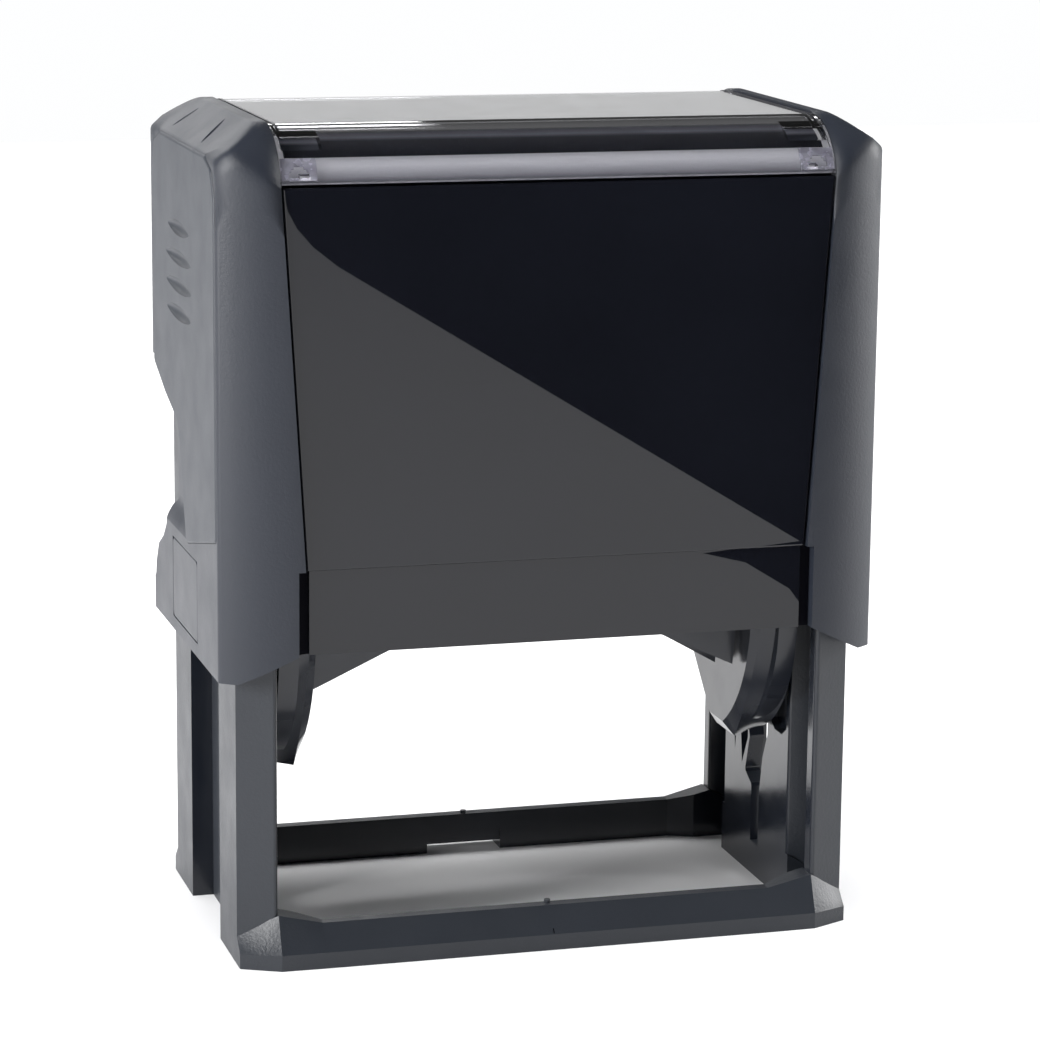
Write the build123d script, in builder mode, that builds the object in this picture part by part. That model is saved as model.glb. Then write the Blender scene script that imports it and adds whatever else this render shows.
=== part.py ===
"""Self-inking stamp for a 75 x 38 mm text plate.

Millimetres, +Z up, X across the long side, front at -Y.
The origin is at the middle of the rectangle that the foot stands on.
"""
import os
from math import atan2, degrees

from build123d import *

os.makedirs("parts", exist_ok=True)

# ---- driving dimensions -------------------------------------------------------------------
PLATE_LENGTH = 75.0  # standard text plate
PLATE_WIDTH = 38.0
AXLE_Z = 46.0  # height of the carrier's axle with the cap up

# base
POST_X = 46.2  # outer face of the side frames
WALL_X = 40.6  # inner face of the side frames
CHANNEL_X = 43.0  # floor of the outer channel that the bridge arm runs in
CHANNEL_Y = 10.65
RECESS_X = 43.4  # floor of the inner recess beside each post
RECESS_Y = 14.5
CREASE_Y = 22.8  # outer corner of a post
POST_FRONT_Y = 25.3  # inner corner of a post
FRAME_TOP = 74.6
FOOT_Y = 27.8
RIM_Z = 2.4
BAR_INNER_Y = 23.35
BAR_TOP = 6.1
FOOT_TOP = 7.7
SLOT_WIDTH = 3.4
POCKET_DEPTH = 1.2
NOTCH_LENGTH = 12.0

# cap
CAP_X = 49.0
CAP_Y = 29.25
CAP_TOP = 121.0
CAP_BOTTOM = 42.5
EDGE_RADIUS = 11.0  # long curve from the front and back faces over to the top
WING_CREASE_Y = 24.8
WING_END_X = 38.0
SHOULDER = (42.45, 116.35)  # x where the end slope starts, z where it meets the side
HOLLOW_X = 46.6  # inner faces of the cap
HOLLOW_Y = 26.3
HOLLOW_CREASE_Y = 23.6
CEILING = 117.0
PANEL_Y = 28.5
PANEL_THICK = 1.2
PANEL_TOP = 113.0
PANEL_HALF = (40.6, 37.3)  # half width at the top and at the step
STEP_Z = 58.8
BAND_BOTTOM = 46.65
BAND_HALF = 36.6
BAND_SLOT = 1.7
GAP = 0.15  # joint line between mouldings that are fixed to each other
PANEL_GAP = 0.3  # around the gloss panels
CHEEK_X = 49.2
CHEEK_THICK = 1.25
WAIST_X = 47.5  # outer face where the side is drawn in below the cheek
WINDOW_THICK = 1.3
CARD_ROOM = 0.5  # between the window and the cap's top
WINDOW_DROP = 0.35  # how far the window lies under the wings

# mechanism
AXLE_R = 1.5
RUNNING = 0.05  # radial clearance of the axle
ARM_X = (43.3, 44.5)
ARM_HALF = 9.8
DIE_THICK = 2.3
TEXT_PLATE_THICK = 2.0
DIE_FACE = 7.4  # from the axle to the printing face
DISC_X = (36.4, 39.3)
DISC_R = 20.5
HORN_X = 32.8
PAD_FACE = 56.0
HOUSING_TOP = 68.3
SPRING_X = 22.0
SPRING_R = 5.5
SPRING_WIRE = 0.45
SPRING_TURNS = 9
BRIDGE_UNDERSIDE = 115.0
BUTTON_X = (46.5, 49.0)
BUTTON_HALF = 9.3
BUTTON_RIM = 0.5
BUTTON_GAP = 0.12
BUTTON_Z = (44.6, 56.6)

SIDES = (("left", -1), ("right", 1))


def save(builder, label):
    """Names a finished piece and writes it."""
    builder.part.label = label
    export_step(builder.part, f"parts/{label}.step")


def mirrored(points, axis):
    """A half outline followed by its reflection in the named axis, in drawing order."""
    flip = (lambda p: (-p[0], p[1])) if axis == "Y" else (lambda p: (p[0], -p[1]))
    return points + [flip(p) for p in reversed(points)]


# ---- base frame ---------------------------------------------------------------------------
# One side frame in plan: post, recess, guide wall, and the channel on its outside.
side_half = [
    (POST_X, CHANNEL_Y),
    (POST_X, CREASE_Y),
    (WALL_X, POST_FRONT_Y),
    (WALL_X, POST_FRONT_Y - 3.0),
    (RECESS_X, POST_FRONT_Y - 3.6),
    (RECESS_X, RECESS_Y + 0.7),
    (WALL_X, RECESS_Y),
]
side_plan = [(CHANNEL_X, CHANNEL_Y)] + side_half
side_plan += [(x, -y) for x, y in reversed(side_plan)]

opening_plan = mirrored(
    mirrored([(WALL_X, 20.6), (34.0, BAR_INNER_Y)], "Y"),
    "X",
)
MARK_ANGLE = 40.0  # slope of the bars' outer faces
# The foot's outline at five places along X: rim and top edge, as (x, y, z) pairs. The slope is
# shallow along the bars and twists up to the posts at the corners.
foot_stations = [
    ((-POST_X, 24.95, RIM_Z - 0.2), (22.4, 4.6)),
    ((-WALL_X, FOOT_Y - 0.1, RIM_Z), (25.4, FOOT_TOP)),
    ((-34.0, FOOT_Y, RIM_Z), (25.2, BAR_TOP)),
]
foot_stations += [((-x, y, z), top) for (x, y, z), top in reversed(foot_stations)]

with BuildPart() as base_frame:
    # foot bars: a vertical rim, then a slope up to a narrow top edge
    for side in (1, -1):
        for (x, rim_y, rim_z), (top_y, top_z) in foot_stations:
            with BuildSketch(Plane.YZ.offset(x)):
                Polygon(
                    (side * 10, 0),
                    (side * rim_y, 0),
                    (side * rim_y, rim_z),
                    (side * top_y, top_z),
                    (side * 10, top_z),
                    align=None,
                )
        loft(ruled=True)
    with BuildSketch():
        Polygon(*opening_plan, align=None)
    extrude(amount=FOOT_TOP, mode=Mode.SUBTRACT)
    # side frames
    with BuildSketch() as side_sketch:
        with BuildLine():
            Polyline(*side_plan, close=True)
        make_face()
        fillet(side_sketch.vertices().filter_by(lambda v: abs(v.X - WALL_X) < 0.1), 0.5)
        mirror(about=Plane.YZ)
    extrude(amount=FRAME_TOP)
    # outer channels, and the recesses beside the posts, run down through the foot
    with BuildSketch():
        with Locations((CHANNEL_X + 5, 0), (-CHANNEL_X - 5, 0)):
            Rectangle(10, 2 * CHANNEL_Y)
    extrude(amount=FRAME_TOP, mode=Mode.SUBTRACT)
    recess_y = (RECESS_Y + 0.7, POST_FRONT_Y - 3.6)
    with BuildSketch():
        with GridLocations(2 * WALL_X, recess_y[0] + recess_y[1], 2, 2):
            Rectangle(2 * (RECESS_X - WALL_X), recess_y[1] - recess_y[0])
    extrude(amount=FOOT_TOP, mode=Mode.SUBTRACT)
    # axle slots: narrow where the carrier is held level, wide where it turns over
    slot_outline = [
        (-SLOT_WIDTH / 2, 5.2),
        (-SLOT_WIDTH / 2, 13.0),
        (-3.1, 19.9),
        (-5.1, 24.0),
        (-5.1, 38.0),
        (-SLOT_WIDTH / 2, 42.0),
        (-SLOT_WIDTH / 2, AXLE_Z + SLOT_WIDTH / 2),
        (SLOT_WIDTH / 2, AXLE_Z + SLOT_WIDTH / 2),
        (SLOT_WIDTH / 2, 42.0),
        (4.6, 38.0),
        (4.6, 26.0),
        (2.9, 21.7),
        (4.8, 15.8),
        (SLOT_WIDTH / 2, 14.2),
        (SLOT_WIDTH / 2, 5.2),
    ]
    with BuildSketch(Plane.YZ) as slot_sketch:
        Polygon(*slot_outline, align=None)
        fillet(slot_sketch.vertices().filter_by(lambda v: 14 < v.Y < 43), 0.6)
    extrude(amount=POST_X + 5, both=True, mode=Mode.SUBTRACT)
    # pockets in the guide walls where the cams swing, and two pointed relief cuts
    pocket = [(-13.4, 27.0), (-13.4, 44.0), (-6.0, 44.0), (-6.0, 27.0), (-8.2, 25.7), (-11.4, 25.7)]
    cuts = ([(3.8, 26.0), (3.8, 21.2), (6.3, 16.5), (7.6, 26.0)], [(8.4, 26.0), (9.7, 17.8), (10.6, 26.0)])
    for way in (1, -1):
        for outline in (pocket, *cuts):
            with BuildSketch(Plane.YZ.offset(way * WALL_X)):
                Polygon(*outline, align=None)
            extrude(amount=way * POCKET_DEPTH, mode=Mode.SUBTRACT)
    # relief in the lower edge of the rear bar, and the centre marks on both bars
    with Locations((0, FOOT_Y - 2, 0)):
        Box(NOTCH_LENGTH, 8, 1.3, align=(Align.CENTER, Align.CENTER, Align.MIN), mode=Mode.SUBTRACT)
    with Locations((0, BAR_INNER_Y, 0)):
        Box(NOTCH_LENGTH, 1.0, 3.2, align=(Align.CENTER, Align.CENTER, Align.MIN), mode=Mode.SUBTRACT)
    with Locations((0, -BAR_INNER_Y - 0.5, BAR_TOP), (0, BAR_INNER_Y + 0.5, BAR_TOP)):
        Cylinder(0.45, 0.5, align=(Align.CENTER, Align.CENTER, Align.MIN))
    mark = (FOOT_Y + BAR_INNER_Y) / 2
    with Locations(Location((0, -mark, (RIM_Z + BAR_TOP) / 2), (MARK_ANGLE, 0, 0))):
        Box(0.2, 5.5, 0.5, mode=Mode.SUBTRACT)
save(base_frame, "base_frame")

# ---- pad housing --------------------------------------------------------------------------
HOUSING_LOW = 58.5
HOUSING_DEPTH = 43.0
with BuildPart() as pad_housing:
    with BuildSketch(Plane.XY.offset(HOUSING_LOW)):
        Rectangle(2 * WALL_X, HOUSING_DEPTH)
    extrude(amount=HOUSING_TOP - HOUSING_LOW)
    # the tray's bay, open to the front, and the grooves that its rails slide in
    with Locations((0, -1.0, HOUSING_LOW)):
        Box(78.2, HOUSING_DEPTH, 7.8, align=(Align.CENTER, Align.CENTER, Align.MIN), mode=Mode.SUBTRACT)
    with Locations((0, -1.0, 61.8)):
        Box(80.4, HOUSING_DEPTH, 1.6, align=(Align.CENTER, Align.CENTER, Align.MIN), mode=Mode.SUBTRACT)
    with BuildSketch(Plane.XY.offset(HOUSING_TOP)):
        with Locations((-SPRING_X, 0), (SPRING_X, 0)):
            Circle(SPRING_R + 2.2)
            Circle(SPRING_R + 1.0, mode=Mode.SUBTRACT)
    extrude(amount=2.0)
    with BuildSketch(Plane.XY.offset(HOUSING_TOP)):
        with Locations((-SPRING_X, 0), (SPRING_X, 0)):
            Circle(SPRING_R - 1.0)
    extrude(amount=3.0)
save(pad_housing, "pad_housing")

# ---- ink pad ------------------------------------------------------------------------------
TRAY_LOW = 57.0
with BuildPart() as ink_pad_tray:
    with BuildSketch(Plane.XY.offset(TRAY_LOW)):
        RectangleRounded(77.6, 40.6, 1.5)
    extrude(amount=9.0)
    with BuildSketch(Plane.XY.offset(TRAY_LOW)):
        Rectangle(75.6, 38.6)
    extrude(amount=7.5, mode=Mode.SUBTRACT)
    with Locations((0, 0, 62.6)):
        Box(79.8, 38.0, 1.1)
        Box(75.6, 38.6, 1.4, mode=Mode.SUBTRACT)
    with Locations((0, -20.3, 61.0)):
        Box(22.0, 2.6, 6.0, align=(Align.CENTER, Align.MAX, Align.CENTER))
    with Locations((0, -22.9, 61.0)):
        Box(18.0, 1.2, 3.6, align=(Align.CENTER, Align.MIN, Align.CENTER), mode=Mode.SUBTRACT)
save(ink_pad_tray, "ink_pad_tray")

with BuildPart() as ink_pad:
    with BuildSketch(Plane.XY.offset(PAD_FACE)):
        RectangleRounded(75.4, 38.4, 1.0)
    extrude(amount=8.4)
    fillet(ink_pad.faces().sort_by(Axis.Z)[0].edges(), 0.5)
save(ink_pad, "ink_pad")


# ---- cap ----------------------------------------------------------------------------------
def cap_form(half_x, half_y, crease_y, radius, shoulder, top):
    """A closed form with the cap's outline: its plan, side view and front view crossed."""
    bend = (WING_END_X + 0.69 * (half_x - WING_END_X), crease_y + 0.52 * (half_y - crease_y))
    with BuildPart() as form:
        with BuildSketch(Plane.XY.offset(CAP_BOTTOM)):
            with BuildLine():
                for x, y in ((1, 1), (-1, 1), (1, -1), (-1, -1)):
                    ThreePointArc(
                        (x * half_x, y * crease_y),
                        (x * bend[0], y * bend[1]),
                        (x * WING_END_X, y * half_y),
                    )
                for way in (1, -1):
                    Line((way * half_x, -crease_y), (way * half_x, crease_y))
                    Line((-WING_END_X, way * half_y), (WING_END_X, way * half_y))
            make_face()
        extrude(amount=top - CAP_BOTTOM)
        with BuildSketch(Plane.YZ) as side_view:
            with Locations((0, (top + CAP_BOTTOM) / 2)):
                Rectangle(2 * half_y, top - CAP_BOTTOM)
            fillet(side_view.vertices().group_by(Axis.Y)[-1], radius)
        extrude(amount=half_x + 1, both=True, mode=Mode.INTERSECT)
        end_slope = [(half_x, CAP_BOTTOM), (half_x, shoulder[1]), (shoulder[0], top)]
        with BuildSketch(Plane.XZ):
            Polygon(*mirrored(end_slope, "Y"), align=None)
        extrude(amount=half_y + 1, both=True, mode=Mode.INTERSECT)
    return form.part


def bent_strip(half_x, drop, low):
    """A solid under the window's curve, drop below the wings, down to the height low."""
    with BuildPart() as form:
        with BuildSketch(Plane.YZ) as profile:
            with Locations((0, (CAP_TOP - drop + 80) / 2)):
                Rectangle(2 * (CAP_Y - drop), CAP_TOP - drop - 80)
            fillet(profile.vertices().group_by(Axis.Y)[-1], EDGE_RADIUS - drop)
        extrude(amount=half_x, both=True)
        split(bisect_by=Plane.XY.offset(low), keep=Keep.TOP)
    return form.part


def panel_outline(gap, bottom):
    """Front view of the panel field, drawn in by the joint line's gap."""
    return mirrored(
        [
            (PANEL_HALF[1] - gap, bottom),
            (PANEL_HALF[1] - gap, STEP_Z),
            (PANEL_HALF[0] - gap, PANEL_TOP - gap),
        ],
        "Y",
    )


CHEEK_OUTLINE = [
    (-17.6, 116.3),
    (-22.0, 114.9),
    (-24.3, 110.9),
    (-24.3, 62.5),
    (-2.0, 57.9),
    (2.6, 72.5),
    (4.4, 75.0),
    (13.6, 77.6),
    (22.6, 81.0),
    (23.4, 108.6),
    (21.2, 114.8),
    (16.0, 116.3),
]
CHEEK_RADIUS = 1.2
DIMPLES = ((103.7, 19.0), (99.4, 23.0), (95.3, 23.0), (91.3, 22.0))  # height and length
DIMPLE_Y = 1.7
DIMPLE_R = 1.15
DIMPLE_SINK = 0.35  # how far the spindle's axis lies outside the cheek
WAIST_LOW = 57.5  # the waist's soft step runs from here
WAIST_STEP_TOP = 62.5
WAIST_OUTLINE = [
    (-5.4, 50.0),
    (-5.4, 58.0),
    (1.2, 73.8),
    (3.8, 75.9),
    (13.2, 78.5),
    (22.6, 82.0),
    (30.4, 82.0),
    (30.4, 50.0),
]
NOTCH_OUTLINE = [
    (12.0, 74.6),
    (12.0, 61.6),
    (14.2, 60.6),
    (14.4, 57.6),
    (17.0, 55.2),
    (21.0, 53.2),
    (23.2, 49.8),
    (23.6, 47.5),
    (30.4, 47.5),
    (30.4, 78.6),
]
NOTCH_FROM = 45.0  # how far in the notch is cut through


def spindle(length, radius):
    """A spindle on the Y axis, pointed at both ends, that bulges to radius in the middle."""
    with BuildPart() as form:
        with BuildSketch():
            with BuildLine():
                ThreePointArc((0, -length / 2), (radius, 0), (0, length / 2))
                Line((0, length / 2), (0, -length / 2))
            make_face()
        revolve(axis=Axis.Y)
    return form.part


def waist_form():
    """The cutter for the waist: drawn in behind the cheek, running out below in a soft S."""
    with BuildPart() as form:
        with BuildSketch(Plane.XZ):
            with BuildLine():
                step_top = (WAIST_X, WAIST_STEP_TOP)
                step_low = (CAP_X + 0.1, WAIST_LOW)
                high_z = WAIST_OUTLINE[-2][1] + 2
                Polyline((CAP_X + 2, WAIST_LOW), (CAP_X + 2, high_z), (WAIST_X, high_z), step_top)
                Spline(step_top, step_low, tangents=((0, -1), (0, -1)))
                Line(step_low, (CAP_X + 2, WAIST_LOW))
            make_face()
        extrude(amount=CAP_Y + 2, both=True)
        with BuildSketch(Plane.YZ):
            Polygon(*WAIST_OUTLINE, align=None)
        extrude(amount=CAP_X + 3, mode=Mode.INTERSECT)
    return form.part


def side_form(outline, radius, x_from, x_to):
    """A rounded outline on the side face, extruded between two distances from the middle."""
    with BuildPart() as form:
        with BuildSketch(Plane.YZ.offset(x_from)) as face_sketch:
            Polygon(*outline, align=None)
            fillet(face_sketch.vertices(), radius)
        extrude(amount=x_to - x_from)
    return form.part


outer_form = cap_form(CAP_X, CAP_Y, WING_CREASE_Y, EDGE_RADIUS, SHOULDER, CAP_TOP)
inner_form = cap_form(HOLLOW_X, HOLLOW_Y, HOLLOW_CREASE_Y, 7.6, (45.3, 115.7), CEILING)
cheek_seat = side_form(CHEEK_OUTLINE, CHEEK_RADIUS, CHEEK_X - CHEEK_THICK, CAP_X + 2)
waist = waist_form()
notch = side_form(NOTCH_OUTLINE, 0.9, NOTCH_FROM, CAP_X + 2)
window_outside = bent_strip(PANEL_HALF[0] - GAP, WINDOW_DROP, PANEL_TOP + GAP)
window_inside = bent_strip(PANEL_HALF[0], WINDOW_DROP + WINDOW_THICK, PANEL_TOP)
card_seat = bent_strip(CAP_X, WINDOW_DROP + WINDOW_THICK + CARD_ROOM, PANEL_TOP)

GROOVES = ((13.2, 6.4, 15.0), (-7.4, 8.4, -35.0))  # place along Y, length, angle across the slope
SLOPE_TILT = degrees(atan2(CAP_TOP - SHOULDER[1], CAP_X - SHOULDER[0]))
BAND_WIDTH = 2 * (BAND_HALF + BAND_SLOT)

with BuildPart() as window_field:
    with Locations((0, 0, PANEL_TOP)):
        Box(
            2 * PANEL_HALF[0],
            2 * CAP_Y + 2,
            CAP_TOP - PANEL_TOP + 1,
            align=(Align.CENTER, Align.CENTER, Align.MIN),
        )
    add(card_seat, mode=Mode.SUBTRACT)

with BuildPart() as cap_shell:
    add(outer_form)
    corners = cap_shell.edges().filter_by(Axis.Z).group_by(SortBy.DISTANCE)[-1]
    ridges = cap_shell.edges().filter_by(Axis.Y).group_by(Axis.Z)
    ends = cap_shell.edges().filter_by(lambda e: abs(e.center().X) > SHOULDER[0] + 0.5)
    end_curves = ends.filter_by(GeomType.LINE, reverse=True).filter_by_position(Axis.Z, 111, CAP_TOP)
    fillet(corners + ridges[-1] + ridges[-2] + end_curves, 1.2)
    add(window_field.part, mode=Mode.SUBTRACT)
    # lower edge: level along the sides, rising over the wings to the panel
    rise = [(46.6, CAP_BOTTOM - 1), (46.6, CAP_BOTTOM), (BAND_HALF + BAND_SLOT, BAND_BOTTOM)]
    with BuildSketch(Plane.XZ):
        Polygon(*mirrored(rise, "Y"), align=None)
    extrude(amount=CAP_Y + 1, both=True, mode=Mode.SUBTRACT)
    # fields for the front and rear panels, wider than the lower bands so that slots stay beside them
    for way in (1, -1):
        with BuildSketch(Plane.XZ.offset(way * (PANEL_Y - PANEL_THICK))):
            Polygon(*panel_outline(0, BAND_BOTTOM - 1), align=None)
            with Locations((0, (STEP_Z + BAND_BOTTOM) / 2 - 0.5)):
                Rectangle(BAND_WIDTH, STEP_Z - BAND_BOTTOM + 1)
        extrude(amount=way * 4, mode=Mode.SUBTRACT)
    # seats for the cheeks, the waist, the lock buttons' windows and the grooves on the end slopes
    for plane in (None, Plane.YZ):
        for form in (cheek_seat, waist, notch):
            cutter = mirror(form, about=plane, mode=Mode.PRIVATE) if plane else form
            add(cutter, mode=Mode.SUBTRACT)
    with Locations((0, 0, (BUTTON_Z[0] + BUTTON_Z[1]) / 2)):
        Box(
            2 * CAP_X + 2,
            2 * (BUTTON_HALF + BUTTON_GAP),
            BUTTON_Z[1] - BUTTON_Z[0] + 2 * BUTTON_GAP,
            mode=Mode.SUBTRACT,
        )
    for way in (1, -1):
        for y, length, splay in GROOVES:
            # the axis lies a little outside the slope, so that only a shallow hollow is left
            middle = (way * (CAP_X + SHOULDER[0] + 0.4) / 2, y, (CAP_TOP + SHOULDER[1] + 0.4) / 2)
            with Locations(Location(middle, (0, way * SLOPE_TILT, 90 + way * splay))):
                add(spindle(length, 0.62), mode=Mode.SUBTRACT)
    add(inner_form, mode=Mode.SUBTRACT)
save(cap_shell, "cap_shell")

# gloss panels, front and back: an upper field, and a lower band set in by a step
BAND_SET_IN = 0.45
for name, way in (("front_panel", 1), ("rear_panel", -1)):
    with BuildPart() as panel:
        with BuildSketch(Plane.XZ.offset(way * (PANEL_Y - PANEL_THICK))):
            Polygon(*panel_outline(PANEL_GAP, STEP_Z), align=None)
        extrude(amount=way * PANEL_THICK)
        with BuildSketch(Plane.XZ.offset(way * (PANEL_Y - PANEL_THICK))):
            with Locations((0, (STEP_Z + BAND_BOTTOM) / 2)):
                Rectangle(2 * BAND_HALF, STEP_Z - BAND_BOTTOM)
        extrude(amount=way * (PANEL_THICK - BAND_SET_IN))
        face = panel.faces().sort_by(Axis.Y)[0 if way > 0 else -1]
        fillet(face.edges(), 0.3)
    save(panel, name)

# index window: bent clear strip with latch openings at each end of its front and back edges
CLIP_HALF = 3.6
with BuildPart() as index_window:
    add(window_outside)
    add(window_inside, mode=Mode.SUBTRACT)
    with Locations(*[(x * (PANEL_HALF[0] - CLIP_HALF), 0, 118.3) for x in (1, -1)]):
        Box(2 * CLIP_HALF - 1.4, 2 * CAP_Y, 1.5, mode=Mode.SUBTRACT)
    with Locations(*[(x * (PANEL_HALF[0] - CLIP_HALF), 0, 114.0) for x in (1, -1)]):
        Box(1.6, 2 * CAP_Y, 0.6, mode=Mode.SUBTRACT)
save(index_window, "index_window")

with BuildPart() as index_card:
    card_drop = WINDOW_DROP + WINDOW_THICK + 0.1
    add(bent_strip(PANEL_HALF[0] - 1.2, card_drop, PANEL_TOP + 3.2))
    add(bent_strip(PANEL_HALF[0], card_drop + 0.3, PANEL_TOP), mode=Mode.SUBTRACT)
save(index_card, "index_card")

# ---- both ends of the cap -----------------------------------------------------------------
cheek_blank = side_form(CHEEK_OUTLINE, CHEEK_RADIUS, CHEEK_X - CHEEK_THICK, CHEEK_X)

for name, way in SIDES:
    with BuildPart() as cheek:
        add(cheek_blank)
        outer_edges = cheek.faces().sort_by(Axis.X)[-1].outer_wire().edges()
        fillet(outer_edges, 0.45)
        for z, length in DIMPLES:
            with Locations((CHEEK_X + DIMPLE_SINK, DIMPLE_Y, z)):
                add(spindle(length, DIMPLE_R), mode=Mode.SUBTRACT)
        if way < 0:
            mirror(about=Plane.YZ, mode=Mode.REPLACE)
    save(cheek, f"{name}_cheek")

    with BuildPart() as button:
        middle = (way * (BUTTON_X[0] + BUTTON_X[1]) / 2, 0, (BUTTON_Z[0] + BUTTON_Z[1]) / 2)
        with Locations(middle):
            Box(BUTTON_X[1] - BUTTON_X[0], 2 * BUTTON_HALF, BUTTON_Z[1] - BUTTON_Z[0])
        fillet(button.edges().filter_by(Axis.X), 1.0)
        fillet(button.faces().sort_by(Axis.X)[-1 if way > 0 else 0].outer_wire().edges(), 0.15)
        # inner rim that keeps the button in its window
        with Locations((way * (BUTTON_X[0] - BUTTON_RIM / 2), 0, middle[2])):
            Box(BUTTON_RIM, 2 * BUTTON_HALF + 1.6, BUTTON_Z[1] - BUTTON_Z[0] + 1.8)
    save(button, f"lock_button_{name}")

# ---- bridge and axle ----------------------------------------------------------------------
with BuildPart() as bridge:
    # a U of plate: cross piece under the cap's top, and an arm down each outer channel
    arm_low = CAP_BOTTOM - 0.7
    arm_centre = (ARM_X[0] + ARM_X[1]) / 2
    with BuildSketch(Plane.XY.offset(BRIDGE_UNDERSIDE)):
        Rectangle(2 * ARM_X[1], 2 * ARM_HALF)
    extrude(amount=CEILING - BRIDGE_UNDERSIDE)
    for way in (1, -1):
        with Locations((way * arm_centre, 0, arm_low)):
            Box(
                ARM_X[1] - ARM_X[0],
                2 * ARM_HALF,
                BRIDGE_UNDERSIDE - arm_low,
                align=(Align.CENTER, Align.CENTER, Align.MIN),
            )
    with Locations((0, 0, AXLE_Z)):
        Cylinder(AXLE_R, 2 * CAP_X, rotation=(0, 90, 0), mode=Mode.SUBTRACT)
    with Locations((-SPRING_X, 0, BRIDGE_UNDERSIDE - 2.5), (SPRING_X, 0, BRIDGE_UNDERSIDE - 2.5)):
        Cylinder(SPRING_R - 1.2, 2.5, align=(Align.CENTER, Align.CENTER, Align.MIN))
save(bridge, "bridge")

pin_from = DISC_X[0] - 2.4
for name, way in SIDES:
    with BuildPart() as pin:
        with BuildSketch(Plane.YZ.offset(way * pin_from)):
            with Locations((0, AXLE_Z)):
                Circle(AXLE_R)
        extrude(amount=way * (ARM_X[1] - pin_from))
        chamfer(pin.edges().sort_by(Axis.X)[0 if way > 0 else -1], 0.3)
    save(pin, f"axle_pin_{name}")

# ---- return springs -----------------------------------------------------------------------
spring_low = HOUSING_TOP + SPRING_WIRE + 0.05
spring_high = BRIDGE_UNDERSIDE - SPRING_WIRE - 0.05
for name, way in SIDES:
    with BuildPart() as spring:
        with BuildLine() as coil:
            height = spring_high - spring_low
            Helix(
                height / SPRING_TURNS,
                height,
                SPRING_R,
                center=(way * SPRING_X, 0, spring_low),
            )
        with BuildSketch(Plane(origin=coil.line @ 0, z_dir=coil.line % 0)):
            Circle(SPRING_WIRE)
        sweep(is_frenet=True)
    save(spring, f"return_spring_{name}")

# ---- text plate carrier -------------------------------------------------------------------
die_top = AXLE_Z + DIE_FACE
plate_top = die_top - DIE_THICK
platen_top = plate_top - TEXT_PLATE_THICK
PLATEN_LOW = 44.4
PLATEN_HALF_Y = 18.4
PLATEN_WALL = 1.6

with BuildPart() as plate_carrier:
    with BuildSketch(Plane.XY.offset(PLATEN_LOW)):
        Rectangle(2 * DISC_X[0], 2 * PLATEN_HALF_Y)
    extrude(amount=platen_top - PLATEN_LOW)
    # the underside is a tray with cross ribs
    with BuildSketch(Plane.XY.offset(PLATEN_LOW)):
        Rectangle(2 * (HORN_X - 1.5), 2 * (PLATEN_HALF_Y - PLATEN_WALL))
        for x in (-20, 0, 20):
            with Locations((x, 0)):
                Rectangle(1.2, 2 * PLATEN_HALF_Y, mode=Mode.SUBTRACT)
        Rectangle(2 * HORN_X, 1.2, mode=Mode.SUBTRACT)
    extrude(amount=platen_top - PLATEN_LOW - PLATEN_WALL, mode=Mode.SUBTRACT)
    # gussets from the underside to the end horns
    for way in (1, -1):
        for y, tip_z in ((-11.0, 37.3), (-3.0, 35.6)):
            with BuildSketch(Plane.XZ.offset(-y)):
                Polygon(
                    (way * 16.8, PLATEN_LOW),
                    (way * HORN_X, PLATEN_LOW),
                    (way * (HORN_X - 0.5), tip_z),
                    align=None,
                )
            extrude(amount=0.7, both=True)
    with Locations((0, 0, AXLE_Z)):
        Cylinder(AXLE_R + RUNNING, 2 * CAP_X, rotation=(0, 90, 0), mode=Mode.SUBTRACT)
save(plate_carrier, "plate_carrier")

# The horn's outline at three places along X, from its inner face to the disc's outer face: top,
# middle and foot of the curved front edge as (y, z), then the height of the lower edge.
HORN_STATIONS = (
    (HORN_X + 0.4, (-17.0, PLATEN_LOW), (-14.6, 36.6), (-5.1, 26.6), 26.6),
    (HORN_X + 1.6, (-18.2, PLATEN_LOW), (-14.0, 34.6), (-7.4, 24.8), 24.8),
    (DISC_X[1], (-20.3, PLATEN_LOW), (-15.3, 32.2), (-3.4, 25.0), 25.0),
)
HORN_FOOT_Y = 0.9  # rear end of the lower edge
HORN_REAR = ((9.3, 34.4), (12.0, PLATEN_LOW))
for name, way in SIDES:
    with BuildPart() as carrier_end:
        for x, top, middle, foot, low_z in HORN_STATIONS:
            with BuildSketch(Plane.YZ.offset(way * x)):
                with BuildLine():
                    ThreePointArc(top, middle, foot)
                    Polyline(foot, (HORN_FOOT_Y, low_z), *HORN_REAR, top)
                make_face()
        loft(ruled=True)
        # round end disc, cut level with the platen
        with BuildSketch(Plane.YZ.offset(way * DISC_X[0])):
            with Locations((0, AXLE_Z)):
                Circle(DISC_R)
            with Locations((0, platen_top + DISC_R)):
                Rectangle(3 * DISC_R, 2 * DISC_R, mode=Mode.SUBTRACT)
        extrude(amount=way * (DISC_X[1] - DISC_X[0]))
        with Locations((0, 0, AXLE_Z)):
            Cylinder(AXLE_R + RUNNING, 2 * CAP_X, rotation=(0, 90, 0), mode=Mode.SUBTRACT)
    save(carrier_end, f"carrier_end_{name}")

with BuildPart() as text_plate:
    with BuildSketch(Plane.XY.offset(platen_top)):
        RectangleRounded(PLATE_LENGTH + 0.8, PLATE_WIDTH, 1.0)
    extrude(amount=TEXT_PLATE_THICK)
save(text_plate, "text_plate")

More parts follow.
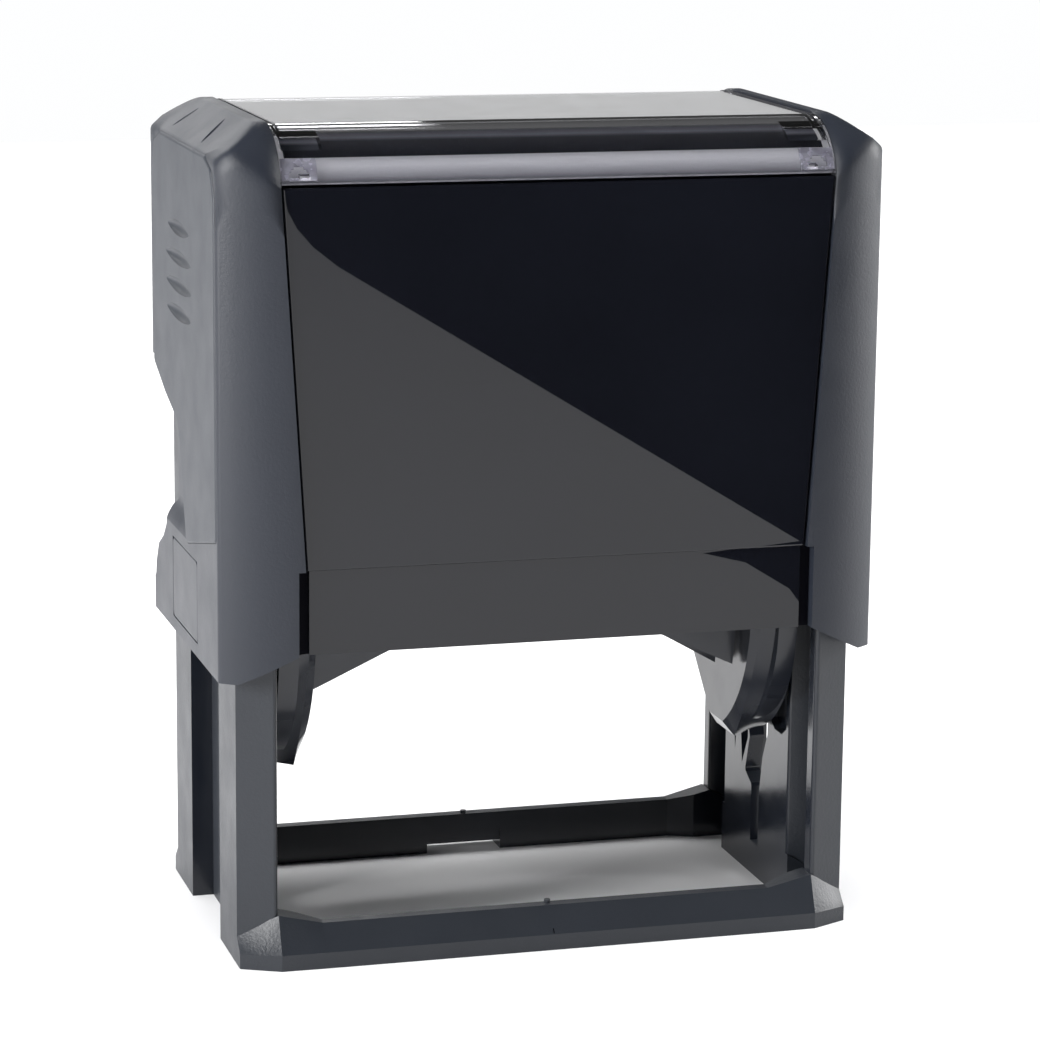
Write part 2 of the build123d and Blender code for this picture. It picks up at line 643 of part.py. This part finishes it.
RELIEF = 0.9  # height of the printing surface over the die's base
with BuildPart() as rubber_die:
    with BuildSketch(Plane.XY.offset(plate_top)):
        RectangleRounded(PLATE_LENGTH, PLATE_WIDTH, 1.0)
    extrude(amount=DIE_THICK - RELIEF)
    # generic printing relief: a border and plain bars
    with BuildSketch(Plane.XY.offset(die_top - RELIEF)):
        Rectangle(PLATE_LENGTH - 2, PLATE_WIDTH - 2)
        Rectangle(PLATE_LENGTH - 4, PLATE_WIDTH - 4, mode=Mode.SUBTRACT)
        with GridLocations(0, 6.4, 1, 4):
            Rectangle(PLATE_LENGTH - 14, 2.6)
    extrude(amount=RELIEF)
save(rubber_die, "rubber_die")
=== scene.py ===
"""Looks of the self-inking stamp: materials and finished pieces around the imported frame."""
import math

import bmesh
import bpy
from mathutils import Matrix, Vector


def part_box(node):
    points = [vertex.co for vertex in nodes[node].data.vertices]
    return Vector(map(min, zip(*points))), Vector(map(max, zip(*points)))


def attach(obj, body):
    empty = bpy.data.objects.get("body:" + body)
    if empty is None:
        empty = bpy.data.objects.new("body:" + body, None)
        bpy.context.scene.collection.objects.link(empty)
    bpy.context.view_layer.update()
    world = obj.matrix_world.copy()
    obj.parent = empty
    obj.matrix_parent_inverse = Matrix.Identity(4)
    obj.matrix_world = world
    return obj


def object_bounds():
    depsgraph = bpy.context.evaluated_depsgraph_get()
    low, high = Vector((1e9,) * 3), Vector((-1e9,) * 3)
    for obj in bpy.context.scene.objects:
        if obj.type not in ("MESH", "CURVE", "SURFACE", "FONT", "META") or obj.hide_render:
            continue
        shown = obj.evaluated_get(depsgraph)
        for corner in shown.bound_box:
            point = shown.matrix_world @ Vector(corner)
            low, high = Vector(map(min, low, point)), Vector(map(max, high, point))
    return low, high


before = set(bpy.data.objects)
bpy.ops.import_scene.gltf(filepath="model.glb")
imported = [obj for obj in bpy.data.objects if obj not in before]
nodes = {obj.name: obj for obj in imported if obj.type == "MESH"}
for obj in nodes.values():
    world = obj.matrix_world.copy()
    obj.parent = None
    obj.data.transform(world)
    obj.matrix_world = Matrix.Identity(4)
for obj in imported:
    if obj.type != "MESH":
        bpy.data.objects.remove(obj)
cad_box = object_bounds()

MM = 0.001


# ---- materials ----------------------------------------------------------------------------
class Shader:
    """A material's node tree, with short calls for the nodes that this scene uses."""

    def __init__(self, name, **values):
        self.material = bpy.data.materials.new(name)
        self.material.use_nodes = True
        self.tree = self.material.node_tree
        self.principled = self.tree.nodes["Principled BSDF"]
        self.place = self.tree.nodes.new("ShaderNodeTexCoord").outputs["Object"]
        for key, value in values.items():
            self.principled.inputs[key.replace("_", " ")].default_value = value

    def link(self, source, target):
        self.tree.links.new(source, target)

    def noise(self, scale, detail=2.0, roughness=0.5, stretch=(1, 1, 1)):
        """Noise with features about 1/scale metres across."""
        mapping = self.tree.nodes.new("ShaderNodeMapping")
        mapping.inputs["Scale"].default_value = stretch
        self.link(self.place, mapping.inputs["Vector"])
        node = self.tree.nodes.new("ShaderNodeTexNoise")
        node.inputs["Scale"].default_value = scale
        node.inputs["Detail"].default_value = detail
        node.inputs["Roughness"].default_value = roughness
        self.link(mapping.outputs["Vector"], node.inputs["Vector"])
        return node.outputs["Fac"]

    def ramp(self, source, *stops):
        """A colour ramp over source; each stop is (position, colour)."""
        node = self.tree.nodes.new("ShaderNodeValToRGB")
        elements = node.color_ramp.elements
        for i, (position, colour) in enumerate(stops):
            element = elements[i] if i < 2 else elements.new(position)
            element.position = position
            element.color = (*colour, 1.0) if len(colour) == 3 else colour
        self.link(source, node.inputs["Fac"])
        return node.outputs["Color"]

    def range(self, source, low, high, start=0.3, stop=0.7):
        node = self.tree.nodes.new("ShaderNodeMapRange")
        node.inputs["From Min"].default_value = start
        node.inputs["From Max"].default_value = stop
        node.inputs["To Min"].default_value = low
        node.inputs["To Max"].default_value = high
        self.link(source, node.inputs["Value"])
        return node.outputs["Result"]

    def bump(self, height, distance, strength=1.0, below=None):
        node = self.tree.nodes.new("ShaderNodeBump")
        node.inputs["Strength"].default_value = strength
        node.inputs["Distance"].default_value = distance
        self.link(height, node.inputs["Height"])
        if below is not None:
            self.link(below, node.inputs["Normal"])
        return node.outputs["Normal"]

    def maths(self, operation, *sources):
        """A Math node; each source is a socket or a plain number."""
        node = self.tree.nodes.new("ShaderNodeMath")
        node.operation = operation
        for socket, source in zip(node.inputs, sources):
            if isinstance(source, (int, float)):
                socket.default_value = source
            else:
                self.link(source, socket)
        return node.outputs[0]

    def axes(self, vector):
        node = self.tree.nodes.new("ShaderNodeSeparateXYZ")
        self.link(vector, node.inputs[0])
        return node.outputs

    def mix(self, factor, a, b):
        """Colour a where factor is 0, colour b where it is 1."""
        node = self.tree.nodes.new("ShaderNodeMix")
        node.data_type = "RGBA"
        self.link(factor, node.inputs["Factor"])
        for socket, source in ((node.inputs[6], a), (node.inputs[7], b)):
            if isinstance(source, tuple):
                socket.default_value = (*source, 1.0)
            else:
                self.link(source, socket)
        return node.outputs[2]

    def drive(self, **links):
        for key, source in links.items():
            self.link(source, self.principled.inputs[key.replace("_", " ")])
        return self.material


def shade(colour, factor):
    return tuple(c * factor for c in colour[:3])


def moulded_plastic(name, colour, roughness, grain, depth, variation=0.04):
    """Moulded plastic with an eroded texture: fine pits, slight cloudiness in tone and gloss."""
    s = Shader(name, IOR=1.5)
    cloud = s.noise(60, detail=5)
    tone = s.ramp(cloud, (0.3, shade(colour, 1 - variation)), (0.7, shade(colour, 1 + variation)))
    pits = s.noise(grain, detail=3, roughness=0.6)
    gloss = s.range(s.noise(160, detail=3), roughness - 0.03, roughness + 0.03)
    return s.drive(Base_Color=tone, Roughness=gloss, Normal=s.bump(pits, depth))


def frame_plastic(name, colour, inner_shade_colour):
    """The base frame: eroded texture outside; glossier on the faces turned inwards, and painted shade
    makes them darker.
    """
    s = Shader(name, IOR=1.5, Specular_IOR_Level=0.42)
    coordinates = s.tree.nodes.new("ShaderNodeTexCoord")
    places = s.axes(coordinates.outputs["Object"])
    normals = s.axes(coordinates.outputs["Normal"])
    inward = []
    for axis in (0, 1):
        towards_middle = s.maths("MULTIPLY", s.maths("SIGN", places[axis]), normals[axis])
        inward.append(s.maths("MULTIPLY", towards_middle, -1.0))
    polished_and_shaded = s.range(s.maths("MAXIMUM", *inward), 0.0, 1.0, 0.3, 0.6)
    cloud = s.noise(60, detail=5)
    outside = s.ramp(cloud, (0.3, shade(colour, 0.95)), (0.7, shade(colour, 1.05)))
    # Painted shade: the inward faces take the darker inner colour.
    inside = s.ramp(cloud, (0.3, shade(inner_shade_colour, 0.9)), (0.7, shade(inner_shade_colour, 1.1)))
    rough = s.range(s.noise(160, detail=3), 0.38, 0.46)
    gloss = s.maths("SUBTRACT", rough, s.maths("MULTIPLY", polished_and_shaded, 0.24))
    pits = s.noise(2200, detail=3, roughness=0.6)
    height = s.maths("MULTIPLY", pits, s.maths("SUBTRACT", 1.15, polished_and_shaded))
    return s.drive(
        Base_Color=s.mix(polished_and_shaded, outside, inside), Roughness=gloss, Normal=s.bump(height, 0.00004)
    )


WINDOW_FIELD_X = 40.6 * MM
# Painted light: the pale seat under the window glows by itself, though it is no lamp.
SEAT_GLOW = 0.25  # light that the pale seat gives off by itself, matched to the photo
# Painted shade: the cap's inside is painted near black with almost no gloss, below SEAT_Z and within
# the bounds below.
SEAT_Z = 113.05 * MM  # the seat starts here, and the dark inside ends
SHADED_INSIDE_X = 46.9 * MM  # the mask of the inside reaches this far, just past the inner faces
SHADED_INSIDE_Y = 27.35 * MM


def cap_plastic(name, colour, inner_shade_colour, seat_colour):
    """The cap: fine eroded texture, painted shade inside (near black, almost no gloss), pale under the
    window with a painted glow. The wings' upper corners are mitred in the mesh; a bevel node rounds
    them in the shading only."""
    s = Shader(name, IOR=1.5)
    x, y, z = s.axes(s.place)
    half_x, half_y = s.maths("ABSOLUTE", x), s.maths("ABSOLUTE", y)
    taper = s.maths("MULTIPLY", s.maths("MAXIMUM", s.maths("SUBTRACT", half_x, 40 * MM), 0.0), 0.37)
    shaded_inside = s.maths("LESS_THAN", half_x, SHADED_INSIDE_X)
    narrowed = s.maths("ADD", half_y, taper)
    shaded_inside = s.maths("MULTIPLY", shaded_inside, s.maths("LESS_THAN", narrowed, SHADED_INSIDE_Y))
    shaded_inside = s.maths("MULTIPLY", shaded_inside, s.maths("LESS_THAN", z, SEAT_Z))
    seat = s.maths("LESS_THAN", half_x, WINDOW_FIELD_X)
    seat = s.maths("MULTIPLY", seat, s.maths("GREATER_THAN", z, SEAT_Z))
    # The pale seat's colour, darker towards its lower edge; it is also the colour of the painted glow.
    pale = s.ramp(
        s.range(z, 0.0, 1.0, 113 * MM, 116.5 * MM),
        (0.0, (0.10, 0.10, 0.12)),
        (0.2, (0.38, 0.38, 0.41)),
        (0.6, seat_colour),
        (0.95, (0.7, 0.7, 0.72)),
    )
    cloud = s.noise(60, detail=5)
    outside = s.ramp(cloud, (0.3, shade(colour, 0.97)), (0.7, shade(colour, 1.03)))
    pits = s.noise(2200, detail=3, roughness=0.6)
    blend = s.tree.nodes.new("ShaderNodeBevel")
    blend.samples = 8
    beside_window = s.range(half_y, 0.0, 1.0, 17.0 * MM, 20.0 * MM)
    high_up = s.range(z, 0.0, 1.0, 106.0 * MM, 110.0 * MM)
    softness = s.maths("MULTIPLY", s.maths("MULTIPLY", beside_window, high_up), 4.0 * MM)
    s.link(softness, blend.inputs["Radius"])
    rough = s.range(s.noise(160, detail=3), 0.40, 0.46)
    return s.drive(
        # Painted shade inside the cap: near-black colour and almost no gloss.
        Base_Color=s.mix(seat, s.mix(shaded_inside, outside, inner_shade_colour), pale),
        Specular_IOR_Level=s.range(shaded_inside, 0.4, 0.02, 0.0, 1.0),
        Emission_Color=pale,
        Emission_Strength=s.maths("MULTIPLY", seat, SEAT_GLOW),
        Roughness=rough,
        Normal=s.bump(pits, 0.00003, below=blend.outputs["Normal"]),
    )


def card_with_painted_reflections():
    """The index card: paper with painted reflections along it, dark and violet bands, and a painted
    highlight where it bends down.
    """
    s = Shader("card_paper", IOR=1.45)
    reach = s.maths("ABSOLUTE", s.axes(s.place)["Y"])
    across = s.range(reach, 0.0, 1.0, 12 * MM, 28 * MM)
    painted_violet, black = (0.058, 0.062, 0.086), (0.024, 0.027, 0.038)
    # Painted reflections: dark and violet bands, with a lighter stop as a painted highlight.
    stops = [
        (0.00, black),
        (0.10, (0.05, 0.05, 0.065)),
        (0.18, painted_violet),
        (0.56, painted_violet),
        (0.64, (0.24, 0.245, 0.29)),
        (0.68, black),
    ]
    bands = s.ramp(across, *stops)
    fibres = s.noise(2600, detail=4)
    return s.drive(
        Base_Color=bands, Roughness=s.range(fibres, 0.7, 0.85), Normal=s.bump(fibres, 0.00001)
    )


def gloss_plastic(name, colour, roughness):
    """Polished plastic: near black, with faint haze and flow marks in the gloss."""
    s = Shader(name, IOR=1.5, Specular_IOR_Level=0.42)
    tone = s.ramp(s.noise(30, detail=3), (0.3, shade(colour, 0.85)), (0.7, shade(colour, 1.15)))
    haze = s.range(s.noise(220, detail=5), roughness, roughness * 1.6 + 0.004)
    flow = s.noise(14, detail=1, stretch=(1, 1, 0.4))
    return s.drive(Base_Color=tone, Roughness=haze, Normal=s.bump(flow, 0.00002, 0.2))


HOUSING = (0.015, 0.018, 0.026)
FRAME = (0.019, 0.022, 0.028)
# The housing's third colour is painted shade for the cap's inside.
housing = cap_plastic("housing_grey", HOUSING, (0.003, 0.003, 0.005), (0.75, 0.75, 0.77))
button = moulded_plastic("button_grey", HOUSING, 0.43, 2600, 0.00003)
# The frame's last colour is painted shade for its inward faces.
frame_grey = frame_plastic("frame_grey", FRAME, (0.010, 0.012, 0.017))
cheek = moulded_plastic("cheek_grey", (0.022, 0.026, 0.034), 0.5, 2600, 0.000025, 0.02)
dark = gloss_plastic("mechanism_dark", (0.016, 0.018, 0.024), 0.16)
black = gloss_plastic("panel_black", (0.0050, 0.0056, 0.0085), 0.004)
card = card_with_painted_reflections()
steel = moulded_plastic("pin_steel", (0.6, 0.6, 0.62), 0.3, 3000, 0.00001)
steel.node_tree.nodes["Principled BSDF"].inputs["Metallic"].default_value = 1.0
felt = moulded_plastic("pad_ink", (0.01, 0.01, 0.03), 0.7, 1500, 0.0002)
rubber = moulded_plastic("die_rubber", (0.012, 0.012, 0.014), 0.6, 2000, 0.00003)


def clear_plastic():
    s = Shader("window_clear", IOR=1.5, Transmission_Weight=1.0)
    s.principled.inputs["Base Color"].default_value = (0.93, 0.93, 0.97, 1)
    haze = s.range(s.noise(200, detail=4), 0.01, 0.05)
    return s.drive(Roughness=haze)


clear = clear_plastic()

finishes = {
    frame_grey: ["base_frame"],
    housing: ["cap_shell"],
    button: ["lock_button_left", "lock_button_right"],
    cheek: ["left_cheek", "right_cheek"],
    black: ["front_panel", "rear_panel"],
    clear: ["index_window"],
    card: ["index_card"],
    dark: [
        "pad_housing",
        "ink_pad_tray",
        "bridge",
        "plate_carrier",
        "carrier_end_left",
        "carrier_end_right",
        "text_plate",
    ],
    steel: ["axle_pin_left", "axle_pin_right", "return_spring_left", "return_spring_right"],
    felt: ["ink_pad"],
    rubber: ["rubber_die"],
}
for material, names in finishes.items():
    for name in names:
        nodes[name].data.materials.clear()
        nodes[name].data.materials.append(material)


# ---- window pieces ------------------------------------------------------------------------
window_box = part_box("index_window")
WINDOW_TOP = window_box[1][2]
WINDOW_HALF_X = window_box[1][0]
WINDOW_HALF_Y = window_box[1][1]
WINDOW_BEND = 10.65 * MM  # radius of the long curve from the top over to the front


def on_window(x, drop, way, lift):
    """A point over the window's curve: drop is the angle from the top (0) to the front (90)."""
    angle = math.radians(drop)
    reach = WINDOW_BEND + lift
    y = WINDOW_HALF_Y - WINDOW_BEND + reach * math.sin(angle)
    return (x, way * y, WINDOW_TOP - WINDOW_BEND + reach * math.cos(angle))


def ride(name, mesh, material, body):
    """Links a finished mesh to the scene as a piece of the object."""
    mesh.materials.append(material)
    piece = bpy.data.objects.new(name, mesh)
    bpy.context.scene.collection.objects.link(piece)
    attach(piece, body)
    return piece


def clip_frosting():
    """Clear plastic of the end clips: milky, with moulded streaks."""
    s = Shader("clip_frosted", IOR=1.49, Transmission_Weight=0.35)
    streaks = s.noise(900, detail=3, stretch=(0.4, 1, 1))
    tone = s.ramp(streaks, (0.35, (0.55, 0.54, 0.63)), (0.65, (0.80, 0.79, 0.88)))
    return s.drive(Base_Color=tone, Roughness=s.range(s.noise(700), 0.15, 0.35))


CLIP_X = (35.3 * MM, 40.3 * MM)
CLIP_DROP = (53.0, 70.5)
CLIP_THICK = 0.35 * MM


def end_clip(name, side, way, material):
    """A clip plate on the window's curve, with an arched opening at its lower edge."""
    columns, rows = 14, 8
    inner, outer = CLIP_X
    made = bmesh.new()
    grid = []
    for row in range(rows + 1):
        drop = CLIP_DROP[0] + (CLIP_DROP[1] - CLIP_DROP[0]) * row / rows
        xs = [side * (inner + (outer - inner) * i / columns) for i in range(columns + 1)]
        grid.append([made.verts.new(on_window(x, drop, way, 0.0)) for x in xs])
    for row in range(rows):
        for i in range(columns):
            across = (i + 0.5) / columns - 0.5
            down = (row + 0.5) / rows
            arch = down > 0.42 and down < 0.86 and abs(across) < 0.34 * math.sqrt((down - 0.38) * 2)
            if not arch:
                corners = (grid[row][i], grid[row][i + 1], grid[row + 1][i + 1], grid[row + 1][i])
                made.faces.new(corners if side * way > 0 else corners[::-1])
    for vertex in [v for v in made.verts if not v.link_faces]:
        made.verts.remove(vertex)
    mesh = bpy.data.meshes.new(name)
    made.to_mesh(mesh)
    made.free()
    piece = ride(name, mesh, material, "window")
    shell = piece.modifiers.new("thickness", "SOLIDIFY")
    shell.thickness = CLIP_THICK
    shell.offset = 1.0
    return piece


clip_material = clip_frosting()
for side_name, side in (("left", -1), ("right", 1)):
    for face_name, way in (("front", -1), ("rear", 1)):
        end_clip(f"window_clip_{face_name}_{side_name}", side, way, clip_material)


RIB_X = (39.35 * MM, 39.75 * MM)
RIB_THICK = 0.15 * MM


def end_rib(name, side, material):
    """A thin dark seal across the window's top, close to its end and running down both curves."""
    bend = [(way, drop) for way, drops in ((1, (24, 16, 8, 0)), (-1, (0, 8, 16, 24))) for drop in drops]
    made = bmesh.new()
    rows = [[made.verts.new(on_window(side * x, drop, way, 0.0)) for x in RIB_X] for way, drop in bend]
    for a, b in zip(rows, rows[1:]):
        corners = (a[0], a[1], b[1], b[0])
        made.faces.new(corners[::-1] if side > 0 else corners)
    mesh = bpy.data.meshes.new(name)
    made.to_mesh(mesh)
    made.free()
    piece = ride(name, mesh, material, "window")
    shell = piece.modifiers.new("thickness", "SOLIDIFY")
    shell.thickness = RIB_THICK
    shell.offset = 1.0
    return piece


rib_material = moulded_plastic("seal_dark", (0.012, 0.013, 0.018), 0.35, 3000, 0.00001)
for side_name, side in (("left", -1), ("right", 1)):
    end_rib(f"window_rib_{side_name}", side, rib_material)


# ---- stage --------------------------------------------------------------------------------
def sheet(name, outline, z, material):
    """A level sheet with the given outline at height z."""
    mesh = bpy.data.meshes.new(name)
    mesh.from_pydata([(x, y, z) for x, y in outline], [], [range(len(outline))])
    mesh.materials.append(material)
    made = bpy.data.objects.new(name, mesh)
    bpy.context.scene.collection.objects.link(made)
    return made


def stage_material(name, colour, roughness):
    s = Shader(name)
    s.principled.inputs["Roughness"].default_value = roughness
    s.principled.inputs["Specular IOR Level"].default_value = 0.1
    tone = s.ramp(s.noise(3, detail=2), (0.0, shade(colour, 0.995)), (1.0, colour))
    return s.drive(Base_Color=tone)


FLOOR_HALF = 2.2
corners = [(-FLOOR_HALF, -FLOOR_HALF), (FLOOR_HALF, -FLOOR_HALF), (FLOOR_HALF, 1.1), (-FLOOR_HALF, 1.1)]
floor = sheet("floor", corners, 0, stage_material("floor_white", (0.9, 0.9, 0.91), 0.9))


def board_edge(y):
    """The dark board's left edge: straight beside the object, curving away further forward."""
    return 0.132 + 0.024 * (max(0.0, -y - 0.73) / 0.2) ** 1.7


# A dark board lying on the studio table to the front right. Only reflections show it.
near_corner = [(0.106, -0.2), (0.1135, -0.24), (0.113, -0.266), (0.107, -0.277)]
far_edge = [(board_edge(y), y) for y in (-0.285 - 0.05 * i for i in range(22))]
outline = near_corner + far_edge + [(1.6, -2.1), (1.6, -0.2)]
board = sheet("dark_board", outline, 0.001, stage_material("board_black", (0.01, 0.01, 0.011), 0.9))
board.visible_camera = False
board.visible_diffuse = False
board.visible_shadow = False


def softbox(name, place, aim, size, power):
    data = bpy.data.lights.new(name, "AREA")
    data.shape = "RECTANGLE"
    data.size, data.size_y = size
    data.energy = power
    lamp = bpy.data.objects.new(name, data)
    bpy.context.scene.collection.objects.link(lamp)
    lamp.location = place
    lamp.rotation_mode = "QUATERNION"
    lamp.rotation_quaternion = (Vector(aim) - Vector(place)).to_track_quat("-Z", "Y")
    lamp.visible_camera = False
    return lamp


def overhead(strength, spread):
    """Even light from straight above, without glints of its own."""
    data = bpy.data.lights.new("overhead", "SUN")
    data.energy = strength
    data.angle = math.radians(spread)
    lamp = bpy.data.objects.new("overhead", data)
    bpy.context.scene.collection.objects.link(lamp)
    lamp.visible_glossy = False
    lamp.visible_transmission = False
    return lamp


middle = (cad_box[0] + cad_box[1]) / 2
softbox("left", (-0.9, -0.28, 0.33), middle, (0.4, 0.4), 14)
softbox("right", (0.88, 0.0, 0.3), middle, (0.4, 0.4), 8)
softbox("back", (-0.15, 1.3, 0.52), middle, (1.0, 0.16), 2.6)
overhead(3.6, 60)


def faded(tree, source, start, stop, low, high):
    """A Map Range node over source."""
    node = tree.nodes.new("ShaderNodeMapRange")
    values = {"From Min": start, "From Max": stop, "To Min": low, "To Max": high}
    for key, value in values.items():
        node.inputs[key].default_value = value
    tree.links.new(source, node.inputs["Value"])
    return node.outputs["Result"]


def studio_world():
    """A low white backdrop behind, dimmer above it and dark in front; the camera sees only white."""
    world = bpy.data.worlds.new("studio")
    world.use_nodes = True
    tree = world.node_tree
    background = tree.nodes["Background"]
    direction = tree.nodes.new("ShaderNodeTexCoord").outputs["Generated"]
    split = tree.nodes.new("ShaderNodeSeparateXYZ")
    tree.links.new(direction, split.inputs[0])
    depth = faded(tree, split.outputs["Y"], -0.25, 0.35, 0.12, 1.0)
    height = faded(tree, split.outputs["Z"], 0.10, 0.14, 0.75, 0.10)
    strength = tree.nodes.new("ShaderNodeMath")
    strength.operation = "MULTIPLY"
    tree.links.new(depth, strength.inputs[0])
    tree.links.new(height, strength.inputs[1])
    seen = tree.nodes.new("ShaderNodeLightPath").outputs["Is Camera Ray"]
    white = tree.nodes.new("ShaderNodeMath")
    white.operation = "MAXIMUM"
    tree.links.new(seen, white.inputs[0])
    tree.links.new(strength.outputs[0], white.inputs[1])
    tree.links.new(white.outputs[0], background.inputs["Strength"])
    background.inputs["Color"].default_value = (0.99, 0.995, 1, 1)
    return world


bpy.context.scene.world = studio_world()

# ---- camera -------------------------------------------------------------------------------
CAMERA_PLACE = (-0.1468, -0.5194, 0.1717)
YAW, PITCH, ROLL = math.radians(16.0), math.radians(11.83), math.radians(0.56)
FOCAL_LENGTH = 127.1  # mm, on a 36 mm wide sensor

forward = Vector(
    (math.sin(YAW) * math.cos(PITCH), math.cos(YAW) * math.cos(PITCH), -math.sin(PITCH))
)
right = Vector((math.cos(YAW), -math.sin(YAW), 0))
down = forward.cross(right)
right, down = (
    math.cos(ROLL) * right - math.sin(ROLL) * down,
    math.sin(ROLL) * right + math.cos(ROLL) * down,
)
camera = bpy.data.objects.new("camera", bpy.data.cameras.new("camera"))
bpy.context.scene.collection.objects.link(camera)
camera.data.lens = FOCAL_LENGTH
camera.data.sensor_width = 36
camera.data.clip_start = 0.01
turn = Matrix((right, -down, -forward)).transposed()
camera.matrix_world = Matrix.Translation(CAMERA_PLACE) @ turn.to_4x4()
bpy.context.scene.camera = camera
bpy.context.scene.view_settings.view_transform = "Standard"
